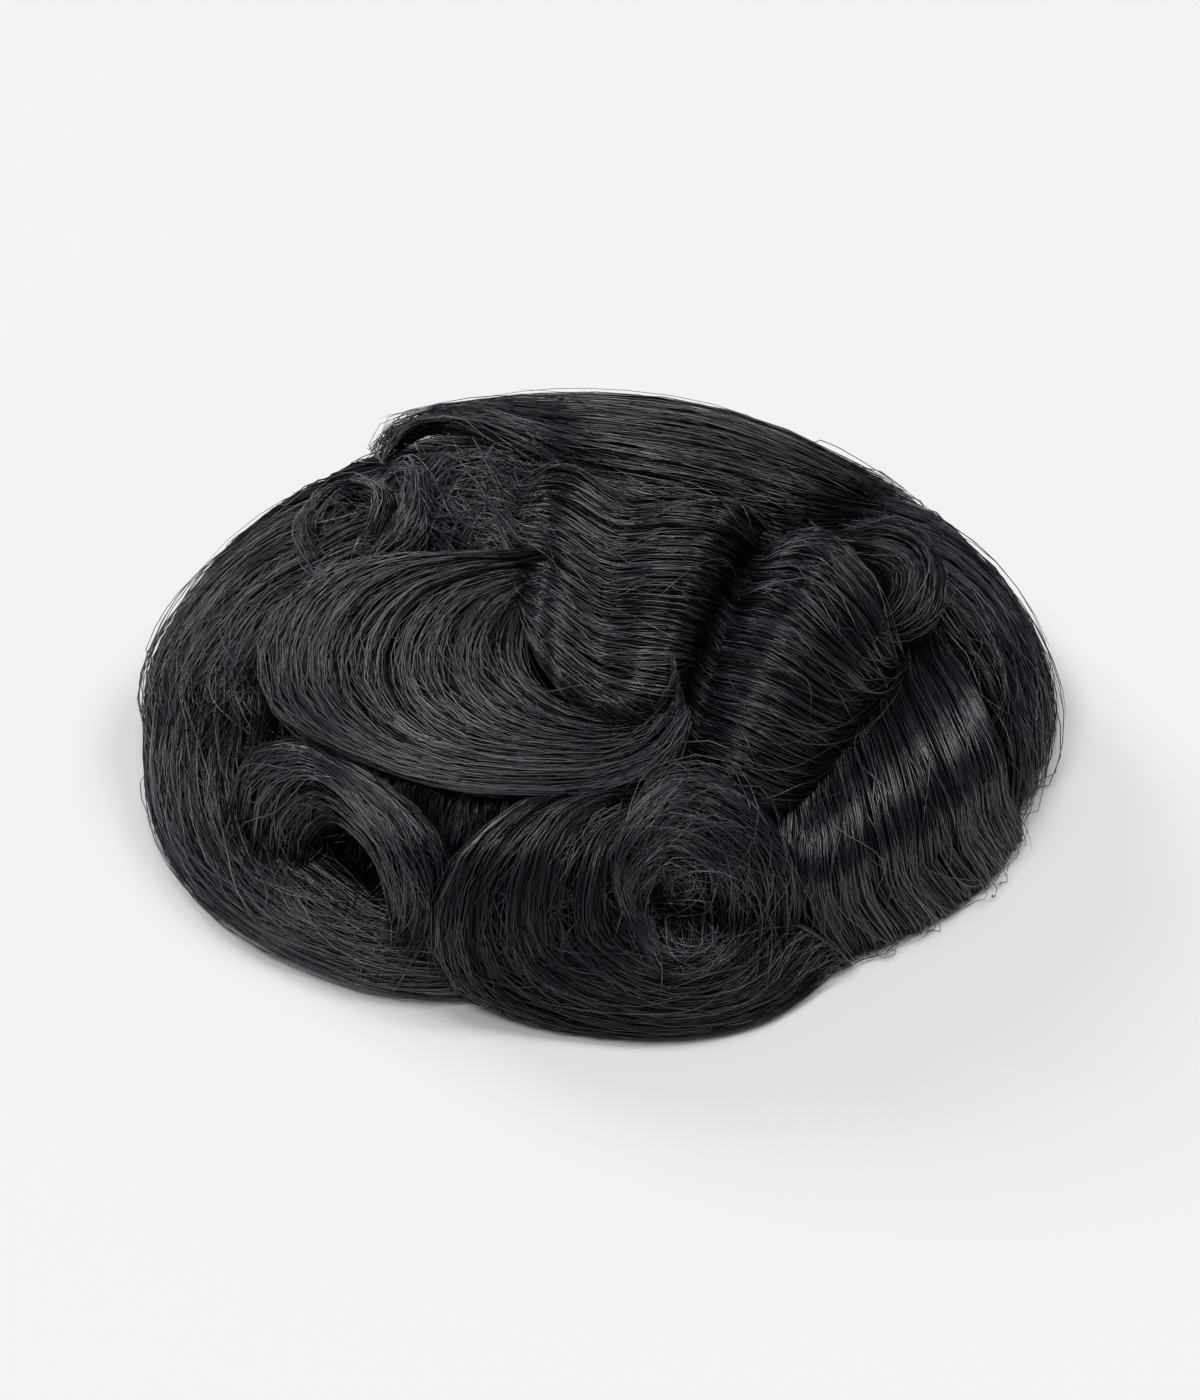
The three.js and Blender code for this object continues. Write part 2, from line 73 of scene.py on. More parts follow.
LOCKS = {
    "right_hook": dict(profile=(0.9, 1.0, 0.95), sections=[
        section((0.38, -0.075), (0.395, -0.02), (0.435, 0.075), 0.85),
        section((0.42, -0.095), (0.455, -0.035), (0.515, 0.06), 1.0),
        section((0.435, -0.115), (0.485, -0.08), (0.555, -0.045), 1.0),
        section((0.44, -0.13), (0.485, -0.14), (0.55, -0.135), 0.85),
        section((0.435, -0.145), (0.46, -0.18), (0.49, -0.205), 0.62),
    ]),
    "front_curl_core": dict(profile=(0.75, 0.97, 1.0), sections=[
        section((0.11, -0.8), (0.25, -0.805), (0.385, -0.8), 0.75),
        section((0.11, -0.78), (0.23, -0.73), (0.335, -0.69), 0.95),
        section((0.105, -0.77), (0.185, -0.675), (0.25, -0.595), 1.0),
        section((0.1, -0.76), (0.12, -0.645), (0.14, -0.545), 1.0),
        section((0.09, -0.76), (0.08, -0.68), (0.06, -0.595), 1.0),
        section((0.085, -0.78), (0.05, -0.735), (0.015, -0.69), 0.95),
        section((0.09, -0.805), (0.065, -0.8), (0.04, -0.8), 0.75),
    ]),
    "front_curl": dict(profile=(0.7, 1.0, 0.98), sections=[
        section((0.14, -0.62), (0.04, -0.585), (-0.06, -0.575), 0.6),
        section((0.075, -0.68), (-0.055, -0.63), (-0.17, -0.63), 0.95),
        section((0.07, -0.75), (-0.11, -0.73), (-0.27, -0.73), 1.05),
        section((0.08, -0.8), (-0.115, -0.84), (-0.29, -0.88), 1.07),
        section((0.1, -0.83), (-0.005, -0.915), (-0.13, -0.992), 1.14),
        section((0.135, -0.84), (0.13, -0.925), (0.09, -0.998), 1.28),
        section((0.18, -0.825), (0.255, -0.895), (0.3, -0.956), 1.24),
        section((0.23, -0.8), (0.36, -0.84), (0.46, -0.89), 0.88),
    ]),
    "left_front_curl": dict(profile=(0.55, 1.0, 0.9), sections=[
        section((-0.54, -0.65), (-0.595, -0.585), (-0.67, -0.46), 0.8),
        section((-0.505, -0.61), (-0.535, -0.53), (-0.57, -0.4), 1.0),
        section((-0.455, -0.595), (-0.45, -0.51), (-0.455, -0.44), 1.05),
        section((-0.42, -0.62), (-0.385, -0.57), (-0.355, -0.53), 1.05),
        section((-0.395, -0.675), (-0.34, -0.65), (-0.285, -0.62), 1.0),
        section((-0.4, -0.74), (-0.335, -0.73), (-0.265, -0.72), 0.9),
        section((-0.42, -0.78), (-0.365, -0.8), (-0.305, -0.82), 0.75),
    ]),
    "left_front_fall": dict(profile=(0.75, 1.0, 0.98), sections=[
        section((-0.565, -0.36), (-0.75, -0.22), (-0.99, -0.08), 0.82),
        section((-0.6, -0.48), (-0.8, -0.37), (-0.97, -0.25), 0.95),
        section((-0.57, -0.6), (-0.74, -0.55), (-0.89, -0.455), 1.1),
        section((-0.51, -0.68), (-0.64, -0.68), (-0.77, -0.637), 1.18),
        section((-0.46, -0.74), (-0.54, -0.78), (-0.61, -0.792), 1.12),
        section((-0.4, -0.78), (-0.41, -0.85), (-0.43, -0.902), 1.1),
        section((-0.32, -0.82), (-0.28, -0.9), (-0.22, -0.975), 0.88),
    ]),
    "crown_swirl": dict(profile=(0.45, 0.95, 1.0), sections=[
        section((-0.09, -0.15), (-0.1, -0.14), (-0.12, -0.12), 0.6),
        section((-0.11, -0.19), (-0.18, -0.15), (-0.28, -0.1), 0.8),
        section((-0.12, -0.23), (-0.28, -0.18), (-0.43, -0.09), 0.9),
        section((-0.13, -0.29), (-0.34, -0.26), (-0.53, -0.19), 1.0),
        section((-0.12, -0.34), (-0.36, -0.35), (-0.53, -0.34), 1.0),
        section((-0.1, -0.38), (-0.32, -0.44), (-0.42, -0.46), 1.0),
        section((-0.055, -0.425), (-0.23, -0.51), (-0.25, -0.56), 0.95),
        section((0.01, -0.45), (-0.085, -0.54), (-0.07, -0.595), 0.85),
        section((0.07, -0.445), (0.025, -0.53), (0.06, -0.575), 0.75),
        section((0.1, -0.4), (0.1, -0.47), (0.13, -0.51), 0.6),
    ]),
    "right_wave": dict(profile=(0.85, 1.0, 0.9), sections=[
        section((0.15, -0.55), (0.17, -0.3), (0.29, 0.03), 0.4),
        section((0.2, -0.59), (0.24, -0.35), (0.35, 0.01), 0.95),
        section((0.26, -0.6), (0.33, -0.39), (0.44, -0.06), 0.88),
        section((0.31, -0.6), (0.4, -0.39), (0.49, -0.14), 0.66),
        section((0.36, -0.58), (0.46, -0.34), (0.52, -0.18), 0.42),
    ]),
    "right_fall": dict(profile=(0.9, 1.0, 0.95), sections=[
        section((0.33, -0.55), (0.47, -0.33), (0.59, -0.08), 0.45),
        section((0.33, -0.64), (0.49, -0.46), (0.64, -0.22), 0.85),
        section((0.34, -0.72), (0.53, -0.55), (0.71, -0.31), 1.0),
        section((0.38, -0.8), (0.6, -0.62), (0.79, -0.37), 0.88),
        section((0.43, -0.875), (0.72, -0.65), (0.9, -0.38), 0.95),
        section((0.45, -0.893), (0.75, -0.66), (0.925, -0.37), 0.95),
    ]),
    "centre_wave": dict(profile=(0.9, 1.0, 0.9), sections=[
        section((0.14, -0.49), (0.19, -0.22), (0.29, 0.04), 0.35),
        section((0.09, -0.51), (0.13, -0.25), (0.21, 0.03), 0.86),
        section((0.04, -0.49), (0.06, -0.25), (0.12, 0.04), 0.86),
        section((-0.01, -0.44), (0.0, -0.23), (0.04, 0.06), 0.68),
        section((-0.06, -0.39), (-0.07, -0.18), (-0.04, 0.12), 0.86),
        section((-0.1, -0.31), (-0.12, -0.12), (-0.12, 0.14), 0.6),
    ]),
    "left_ringlet": dict(profile=(0.5, 1.0, 0.9), sections=[
        section((-0.375, 0.03), (-0.35, 0.005), (-0.33, -0.02), 0.75),
        section((-0.365, 0.07), (-0.34, 0.08), (-0.315, 0.09), 0.8),
        section((-0.4, 0.1), (-0.4, 0.135), (-0.4, 0.17), 0.85),
        section((-0.43, 0.07), (-0.455, 0.08), (-0.48, 0.09), 0.8),
        section((-0.425, 0.03), (-0.45, 0.005), (-0.475, -0.02), 0.7),
    ]),
    "crown_ringlet": dict(profile=(0.8, 1.0, 0.8), sections=[
        section((-0.37, 0.14), (-0.365, 0.18), (-0.36, 0.22), 0.6),
        section((-0.32, 0.13), (-0.3, 0.165), (-0.28, 0.2), 0.75),
        section((-0.305, 0.06), (-0.275, 0.07), (-0.245, 0.08), 0.85),
        section((-0.315, 0.01), (-0.285, -0.01), (-0.255, -0.03), 0.8),
        section((-0.34, -0.01), (-0.33, -0.045), (-0.32, -0.08), 0.65),
    ]),
    "back_crest": dict(profile=(0.9, 1.0, 0.95), sections=[
        section((0.42, 0.08), (0.45, 0.25), (0.48, 0.42), 0.64),
        section((0.29, 0.02), (0.31, 0.26), (0.33, 0.49), 0.7),
        section((0.16, 0.03), (0.17, 0.28), (0.18, 0.53), 0.75),
        section((0.0, 0.06), (0.0, 0.3), (0.0, 0.54), 0.78),
        section((-0.12, 0.17), (-0.13, 0.36), (-0.14, 0.54), 0.8, 0.25),
        section((-0.24, 0.38), (-0.26, 0.45), (-0.28, 0.52), 0.82, 0.62),
        section((-0.35, 0.4), (-0.37, 0.44), (-0.39, 0.48), 0.84, 0.62),
    ]),
    "crown_tuft": dict(profile=(0.9, 1.0, 0.9), sections=[
        section((-0.06, -0.1), (-0.05, 0.05), (-0.03, 0.22), 0.5),
        section((-0.11, -0.12), (-0.11, 0.01), (-0.1, 0.22), 0.7),
        section((-0.17, -0.11), (-0.18, 0.02), (-0.18, 0.22), 0.78),
        section((-0.24, -0.05), (-0.25, 0.06), (-0.26, 0.22), 0.75),
        section((-0.29, 0.05), (-0.3, 0.12), (-0.31, 0.22), 0.6),
    ]),
    "left_side_wave": dict(profile=(0.8, 1.0, 0.95), sections=[
        section((-0.31, -0.09), (-0.34, 0.08), (-0.37, 0.25), 0.6),
        section((-0.42, -0.13), (-0.47, 0.05), (-0.52, 0.26), 0.68),
        section((-0.5, -0.165), (-0.58, 0.02), (-0.66, 0.24), 0.72),
        section((-0.55, -0.24), (-0.67, -0.05), (-0.8, 0.19), 0.8),
        section((-0.56, -0.32), (-0.74, -0.14), (-0.93, 0.08), 0.88),
        section((-0.59, -0.375), (-0.78, -0.24), (-0.99, -0.08), 0.82),
    ]),
    "right_rear_fall": dict(profile=(0.9, 1.0, 0.95), sections=[
        section((0.34, 0.0), (0.38, 0.12), (0.42, 0.22), 0.5),
        section((0.46, -0.04), (0.52, 0.11), (0.56, 0.26), 0.68),
        section((0.57, -0.1), (0.65, 0.08), (0.7, 0.25), 0.78),
        section((0.66, -0.2), (0.78, 0.0), (0.85, 0.2), 0.82),
        section((0.75, -0.32), (0.89, -0.09), (0.95, 0.12), 0.83),
        section((0.86, -0.5), (0.98, -0.18), (0.998, 0.05), 0.83),
    ]),
    "back_left_fall": dict(profile=(0.85, 1.0, 0.9), sections=[
        section((0.02, 0.3), (-0.18, 0.3), (-0.36, 0.14), 0.42),
        section((0.03, 0.48), (-0.3, 0.42), (-0.6, 0.14), 0.48),
        section((0.04, 0.66), (-0.42, 0.56), (-0.79, 0.1), 0.72),
        section((0.05, 0.84), (-0.51, 0.69), (-0.92, 0.03), 0.86),
        section((0.05, 0.998), (-0.59, 0.806), (-0.998, -0.05), 0.84),
    ]),
    "back_right_fall": dict(profile=(0.85, 1.0, 0.9), sections=[
        section((0.0, 0.3), (0.24, 0.28), (0.42, 0.12), 0.5),
        section((0.01, 0.48), (0.34, 0.42), (0.62, 0.14), 0.64),
        section((0.02, 0.66), (0.45, 0.55), (0.8, 0.12), 0.76),
        section((0.03, 0.84), (0.53, 0.69), (0.93, 0.06), 0.86),
        section((0.03, 0.998), (0.6, 0.8), (0.998, -0.03), 0.84),
    ]),
}


# How each lock is combed: strands and points along each, wisps across it and loose hairs, sway of a wisp and
# stray of a single strand as shares of the width, step in height from wisp to wisp, how curly the loose hairs
# are, how far strands run on past the root and the tip as shares of the length, whether the lock bridges gaps
# below it, how far it draws to a point, how strongly strands gather in tufts, the shares of the length over
# which painted shade darkens the hair towards its root and its tip, how dark the painted shade in the grooves
# between wisps is, the share of strands that cross the others, how much the tint is lightened or darkened as
# painted highlight on the lock, the share of the width over which painted shade darkens the strands towards
# the inner edge, and how thick the strands are beside the rest. Each wisp lies over the next one outwards, or
# inwards where the step is below nought.
def comb(strands, points, wisps, loose, sway=0.02, stray=0.012, ridge=0.0007, wander=0.06, ends=(0.1, 0.1),
         bridge=0.0, point=0.0, clump=1.0, dark=(0.12, 0.1), groove=0.6, cross=0.3, shine=1.0, eye=0.0,
         thick=1.0):
    return dict(strands=strands, points=points, wisps=wisps, loose=loose, sway=sway, stray=stray, ridge=ridge,
                wander=wander, ends=ends, bridge=bridge, point=point, clump=clump, dark=dark, groove=groove,
                cross=cross, shine=shine, eye=eye, thick=thick)


COMBING = {
    "right_hook": comb(240, 11, 3, 20, ends=(0.3, 0.1), wander=0.1, clump=0.5, dark=(0.3, 0.3), shine=1.25,
                       stray=0.02, eye=0.3),
    "front_curl_core": comb(540, 13, 5, 280, stray=0.022, wander=0.18, ends=(0.17, 0.08), bridge=1.0,
                            clump=0.6, ridge=-0.0012, groove=0.9, cross=0.2, eye=0.4, dark=(0.3, 0.3)),
    "front_curl": comb(880, 14, 4, 370, ends=(0.06, 0.05), ridge=-0.0042, wander=0.2, stray=0.016, bridge=1.0,
                       groove=1.4, cross=0.2, shine=1.1, eye=0.15),
    "left_front_curl": comb(540, 13, 6, 230, ends=(0.14, 0.2), stray=0.02, wander=0.2, ridge=-0.002,
                            groove=1.4, shine=1.25, eye=0.2),
    "left_front_fall": comb(600, 12, 9, 220, ends=(0.2, 0.1), stray=0.018, wander=0.14, ridge=0.0014,
                            groove=0.9, shine=0.95),
    "crown_swirl": comb(1060, 14, 9, 170, ends=(0.06, 0.04), ridge=0.0013, stray=0.016, clump=0.6, groove=0.9,
                        dark=(0.12, 0.3)),
    # The right wave darkens over most of its length towards its tip, as painted shade of the trough by the
    # crease.
    "right_wave": comb(1200, 10, 14, 60, ends=(0.14, 0.12), wander=0.05, stray=0.007, ridge=0.0003, clump=0.3,
                       groove=0.3, dark=(0.1, 0.9), cross=0.12, shine=1.5),
    "right_fall": comb(1020, 11, 14, 70, ends=(0.14, 0.04), wander=0.05, stray=0.006, ridge=0.0003, clump=0.3,
                       groove=0.3, dark=(0.16, 0.2), cross=0.12, shine=1.3),
    "centre_wave": comb(1040, 12, 12, 90, ends=(0.1, 0.15), wander=0.05, stray=0.007, ridge=0.0004, clump=0.2,
                        groove=0.4, dark=(0.2, 0.1), cross=0.15, shine=1.05),
    "left_ringlet": comb(190, 13, 3, 60, wander=0.25, stray=0.03, ridge=0.001),
    "crown_ringlet": comb(190, 13, 3, 60, wander=0.25, stray=0.03, ridge=0.001),
    "back_crest": comb(640, 10, 9, 140, ends=(0.1, 0.03), wander=0.07, point=0.8, stray=0.016, ridge=0.0012,
                       shine=1.15),
    "crown_tuft": comb(340, 12, 6, 190, stray=0.04, ends=(0.2, 0.2), wander=0.3, sway=0.04, groove=0.8),
    "left_side_wave": comb(580, 11, 8, 170, ends=(0.15, 0.4), stray=0.024, wander=0.12, ridge=0.0012,
                           groove=0.9, shine=0.9),
    "right_rear_fall": comb(380, 10, 8, 100, ridge=0.0012, stray=0.016, wander=0.1, shine=1.5, thick=1.15,
                            clump=0.7),
    "back_left_fall": comb(640, 7, 10, 40, thick=1.7, clump=0.4, stray=0.008, cross=0.15, groove=0.4),
    "back_right_fall": comb(640, 7, 10, 40, thick=1.7, clump=0.4, stray=0.008, cross=0.15, groove=0.4),
}

# Shares of a lock's length and width that its dark mass fills, where that isn't all of it
MASS_SPAN = {"back_crest": (-0.04, 0.74, 0.06, 1.04)}
WHOLE_SPAN = (-0.04, 1.04, -0.04, 1.04)
MASS_GRID = (41, 25)
MASS_EDGE = 0.0003
MASS_SINK = 0.001

# The top of a lock: its edges, the rim and the map of what lies over each place
EDGE_WIDTH = 0.07
EDGE_ROUND = 0.3
RIM_TUCK = 0.1
TUCK_FROM = 0.9
LEAST_HEIGHT = 0.003
FLOOR_GAP = 0.0003
RIM_SPREAD = 0.09
MAP_HALF = 1.2
MAP_CELLS = 256
# How far a lock dives in under those above it, lies over those below it and sags where it bridges a gap
DIVE = 0.002
DRAPE = 0.0004
BRIDGE_SAG = 0.001

# Strands of a lock: how unlike its wisps are, where strands start across it, how much later and earlier some
# start and end, how far plain and crossing strands drift, and the tufts that strands gather in
STRAND_SIDES = 3
WISP_SHARES = (0.4, 1.6)
STRAND_SPAN = (-0.03, 1.03)
LATE_ROOTS = 0.15
EARLY_TIPS = 0.3
DRIFT_PLAIN = 2.5
DRIFT_CROSSING = 7.0
TUFTS_PER_WISP = 5
TUFT_SPARE = 5
TUFT_LEAN = 0.5
TUFT_PULL = 0.6
TUFT_STEP = 0.0005
RIPPLE = 0.00015
# Tints run from 0, darkest, to 1, brown. Painted shade takes a share of the tint from strands that lie
# deeper, and the shades are what is left of a tint where shade is painted at the root, the tip and the inner
# edge of a lock; painted shade in the grooves starts at a share of the width of a wisp.
LIGHT_SHARE = 0.3
BROWN_SHARE = 0.04
LIGHT_TINTS = (0.64, 0.94)
DARK_TINTS = 0.6
DEEP_PAINTED_SHADE = 0.45
ROOT_SHADE = 0.25
TIP_SHADE = 0.15
EYE_SHADE = 0.2
GROOVE_FROM = 0.55

LOOSE_SEED = 50
LOOSE_POINTS = 11
LOOSE_RISE = 0.0003
# Loose hairs are light, partly their own colour and partly painted highlight where thin hairs catch the
# light.
LOOSE_TINTS = (0.6, 0.93)

UNDER_SEED = 100
UNDER_STRANDS = 1320
UNDER_POINTS = 7
UNDER_DRAWS = 60000
UNDER_REACH = 0.95
UNDER_SINK = 0.0004
# Places on the dome map where short hair fills the gap between locks, and how far round them
FILLED_GAPS = [(-0.34, -0.5, 0.16), (-0.2, -0.6, 0.14), (0.05, -0.56, 0.14)]

# Strands take the upper part of the texture map and the masses the lower part
MAP_SPLIT = 0.5
GLOSS_TINT = (0.77, 0.79, 1.0, 1.0)

CAP_NET = 800.0
CAP_BAND = 0.44
CAP_BAND_EDGE = 0.004
CAP_THICK = 0.0012
CAP_SINK = 0.0001

CAMERA_ELEVATION = 41.0
CAMERA_DISTANCE = 0.905
CAMERA_AIM = 0.010
WORLD_STRENGTH = 0.12
LIGHTS = [
    ("overhead", (0.0, 0.0, 1.0), 22.0, 0.64),
    ("front_softbox", (-0.354, -0.354, 0.866), 22.0, 1.16),
    ("back_softbox", (-0.612, 0.612, 0.5), 22.0, 0.96),
    ("right_softbox", (0.5, 0.0, 0.866), 22.0, 0.76),
]


def dome_points(x, y, rise):
    """Points over places on the dome map, raised square to the cap, in metres. Past the rim they lie flat."""
    reach = np.hypot(x, y)
    radius = np.clip(reach, 1e-6, 1.0)
    angle = radius * math.pi / 2
    spread = np.sin(angle) / radius / np.maximum(reach, 1.0)
    place = np.stack([DOME_HALF[0] * spread * x, DOME_HALF[1] * spread * y, DOME_HALF[2] * np.cos(angle)], -1)
    outward = place / np.square(DOME_HALF)
    outward /= np.linalg.norm(outward, axis=-1, keepdims=True)
    past = np.clip(reach - 1, 0, 0.12) * RIM_SPREAD
    place = place + outward * (np.asarray(rise) + past)[..., None]
    place[..., 2] = np.maximum(place[..., 2], FLOOR_GAP)
    return place + np.array([*DOME_MIDDLE, 0.0])


def curve_at(rows, t):
    """Curve through rows of numbers at shares t of its length, bending on past its ends by one row."""
    rows = np.asarray(rows, float)
    last = len(rows) - 1
    ahead, behind = 3 * rows[0] - 3 * rows[1] + rows[2], 3 * rows[-1] - 3 * rows[-2] + rows[-3]
    rows = np.concatenate([[ahead], rows, [behind]])
    place = np.asarray(t, float) * last + 1
    i = np.clip(np.floor(place).astype(int), 0, last + 1)
    f = np.clip(place - i, -0.5, 1.5)[..., None]
    here, there = rows[i], rows[i + 1]
    before = np.where((i > 0)[..., None], rows[np.maximum(i - 1, 0)], 2 * here - there)
    after = np.where((i < last + 1)[..., None], rows[np.minimum(i + 2, last + 2)], 2 * there - here)
    return 0.5 * (2 * here + f * (there - before) + f ** 2 * (2 * before - 5 * here + 4 * there - after)
                  + f ** 3 * (3 * here - before - 3 * there + after))


def across(inner, middle, outer, u):
    """Value at share u of the way across, through the values at both edges and the middle."""
    return inner * (1 - u) * (1 - 2 * u) + middle * 4 * u * (1 - u) + outer * u * (2 * u - 1)


def lock_surface(lock, t, u, depth):
    """Place on the dome map and rise in metres of the lock's top at shares t along it and u across it."""
    ix, iy, mx, my, ox, oy = np.moveaxis(curve_at(lock["sections"], t)[..., :6], -1, 0)
    rise, underside = np.moveaxis(curve_at(lock["sections"], np.clip(t, 0, 1))[..., 6:], -1, 0)
    x, y = across(ix, mx, ox, u), across(iy, my, oy, u)
    shape = across(*lock["profile"], np.clip(u, 0, 1))
    tuck = np.clip((np.hypot(x, y) - TUCK_FROM) / (1 - TUCK_FROM), 0, 1)
    edge = np.clip((np.abs(2 * u - 1) - (1 - 2 * EDGE_WIDTH)) / (2 * EDGE_WIDTH), 0, 1)
    lost = RIM_TUCK * tuck + EDGE_ROUND * (1 - tuck) * edge ** 2
    low = np.maximum(depth * np.maximum(underside, 0), UNDER_RISE)
    return x, y, np.maximum(depth * rise * shape * (1 - lost), low + LEAST_HEIGHT), low


def blurred(values, times):
    """Values averaged with their neighbours a number of times."""
    for _ in range(times):
        for axis in (0, 1):
            values = (np.roll(values, 1, axis) + values + np.roll(values, -1, axis)) / 3
    return values


def read_map(values, x, y):
    """Value of a map at places on the dome map, between its cells."""
    place = [np.clip((v / MAP_HALF + 1) / 2 * (MAP_CELLS - 1), 0, MAP_CELLS - 1.001) for v in (x, y)]
    (i, j), (f, g) = [v.astype(int) for v in place], [v - v.astype(int) for v in place]
    return ((values[i, j] * (1 - f) + values[i + 1, j] * f) * (1 - g)
            + (values[i, j + 1] * (1 - f) + values[i + 1, j + 1] * f) * g)


def hair_map(depth):
    """Which lock lies on top over each place on the dome map, and how high."""
    top = np.full((MAP_CELLS, MAP_CELLS), UNDER_RISE)
    owner = np.full((MAP_CELLS, MAP_CELLS), len(LOCKS))
    t, u = np.meshgrid(np.linspace(0, 1, 300), np.linspace(0, 1, 200), indexing="ij")
    for rank, lock in reversed(list(enumerate(LOCKS.values()))):
        x, y, height, _ = lock_surface(lock, t, u, depth)
        i, j = [np.clip(np.round((v / MAP_HALF + 1) / 2 * (MAP_CELLS - 1)).astype(int), 0, MAP_CELLS - 1)
                for v in (x, y)]
        top[i, j], owner[i, j] = height, rank
    return blurred(top, 4), owner


def laid_rise(lock, t, u, depth, covers):
    """Place and rise of the lock's top, running in under the locks above it and over those below."""
    x, y, height, low = lock_surface(lock, t, u, depth)
    top, wide, above, below = [read_map(cover, x, y) for cover in covers]
    under = np.minimum(height, top - DIVE)
    over = np.maximum(top, wide) + DRAPE
    rise = height * (1 - above - below) + under * above + over * below
    return x, y, np.maximum(rise, UNDER_RISE), low


def smooth_noise(rng, shape, t, waves):
    """Smooth random wander along t, one for each entry of shape, about 1 high."""
    total = 0.0
    for wave in waves:
        phase = rng.uniform(0, 2 * math.pi, shape)[..., None]
        size = rng.normal(0, 1, shape)[..., None]
        total = total + size * np.sin(2 * math.pi * wave * t + phase) / math.sqrt(len(waves))
    return total


def lock_strands(lock, style, sizes, covers, seed):
    """Centrelines of a lock's strands: points (strands, points, 3), radius and tint at each point."""
    rng = np.random.default_rng(seed)
    count, points, wisps = style["strands"], style["points"], style["wisps"]
    edges = np.cumsum(np.append(0, rng.uniform(*WISP_SHARES, wisps)))
    edges /= edges[-1]
    root = rng.uniform(*STRAND_SPAN, count)
    wisp = np.clip(np.searchsorted(edges, root) - 1, 0, wisps - 1)
    middle, width = (edges[wisp] + edges[wisp + 1]) / 2, edges[wisp + 1] - edges[wisp]

    start = -style["ends"][0] * rng.uniform(0, 1, count) + LATE_ROOTS * rng.uniform(0, 1, count) ** 3
    finish = 1 + style["ends"][1] * rng.uniform(-0.2, 1.0, count) - EARLY_TIPS * rng.uniform(0, 1, count) ** 4
    s = np.linspace(0, 1, points)[None, :]
    t = start[:, None] + (finish - start)[:, None] * s

    sway = style["sway"] * smooth_noise(rng, wisps, np.linspace(0, 1, 64)[None, :], (0.5, 1.1))
    sway = np.take_along_axis(sway[wisp], np.round(np.clip(t, 0, 1) * 63).astype(int), 1)
    stray = style["stray"] * smooth_noise(rng, count, t, (0.4, 0.9))
    crossing = np.where(rng.uniform(0, 1, count) < style["cross"], DRIFT_CROSSING, DRIFT_PLAIN)
    drift = style["stray"] * (rng.normal(0, 1, count) * crossing)[:, None] * (s - 0.5)
    tufts = wisps * TUFTS_PER_WISP
    drawn = tufts + 2 * TUFT_SPARE + 1
    tuft = np.round(root * tufts + rng.uniform(-0.2, 0.2, count)).astype(int) + TUFT_SPARE
    together = (rng.normal(0, TUFT_LEAN, drawn)[tuft] / wisps)[:, None] * (s - 0.3) ** 2 * style["clump"]
    gather = ((tuft - TUFT_SPARE) / tufts - root)[:, None] * TUFT_PULL * s ** 2 * style["clump"]
    u = root[:, None] + gather + together + sway + stray + drift
    u = 0.5 + (u - 0.5) * (1 - style["point"] * np.clip(t, 0, 1.1) ** 4)

    x, y, rise, _ = laid_rise(lock, t, u, sizes.hair_depth, covers)
    side = np.clip(0.5 + (u - middle[:, None]) / width[:, None], 0, 1)
    lump = TUFT_STEP * style["clump"] * rng.normal(0, 1, drawn)[tuft][:, None]
    side = side if style["ridge"] > 0 else 1 - side
    ridge = abs(style["ridge"]) * (1 - 2 * side ** 2) + lump
    deep = rng.uniform(0, 1, count)
    ripple = RIPPLE * smooth_noise(rng, count, t, (1.1, 2.3))
    rise = rise + ridge + ripple - deep[:, None] * sizes.strand_layer
    place = dome_points(x, y, np.maximum(rise, UNDER_RISE))

    taper = np.clip(np.minimum(6 * s, 4 * (1 - s)) + 0.2, 0, 1)
    radius = 0.5 * style["thick"] * sizes.strand_width * rng.uniform(0.6, 1.3, count)[:, None] * taper
    draw = rng.uniform(0, 1, count)
    tint = np.where(draw < LIGHT_SHARE, rng.uniform(*LIGHT_TINTS, count),
                    DARK_TINTS * rng.uniform(0, 1, count))
    # Brown hairs keep their own colour; the rest are lightened or darkened lock by lock as painted highlight.
    tint = np.where(draw > 1 - BROWN_SHARE, 1.0, np.minimum(style["shine"] * tint, LIGHT_TINTS[1]))
    # Painted shade: each strand darkens towards its root, where the lock dives into the crease beside its
    # neighbours, and towards its tip.
    from_root, from_tip = [np.clip(part / share, 0, 1)
                           for part, share in zip((t - start[:, None], 1 - s), style["dark"])]
    shade = (ROOT_SHADE + (1 - ROOT_SHADE) * from_root) * (TIP_SHADE + (1 - TIP_SHADE) * from_tip)
    # Painted shade in the grooves between wisps: darker towards the low side of each wisp, where it lies
    # under the next one.
    groove = 1 - style["groove"] * np.clip((side - GROOVE_FROM) / (1 - GROOVE_FROM), 0, 1) ** 1.5
    # Painted shade in the eye of a curl: strands darken towards the lock's inner edge.
    eye = EYE_SHADE + (1 - EYE_SHADE) * np.clip(u / style["eye"], 0, 1) if style["eye"] else 1.0
    # Painted shade: strands that lie deeper in the lock lose a share of their tint.
    tint = (tint * (1 - DEEP_PAINTED_SHADE * deep))[:, None]
    return place, radius, np.clip(tint * shade * groove * eye, 0, 1)


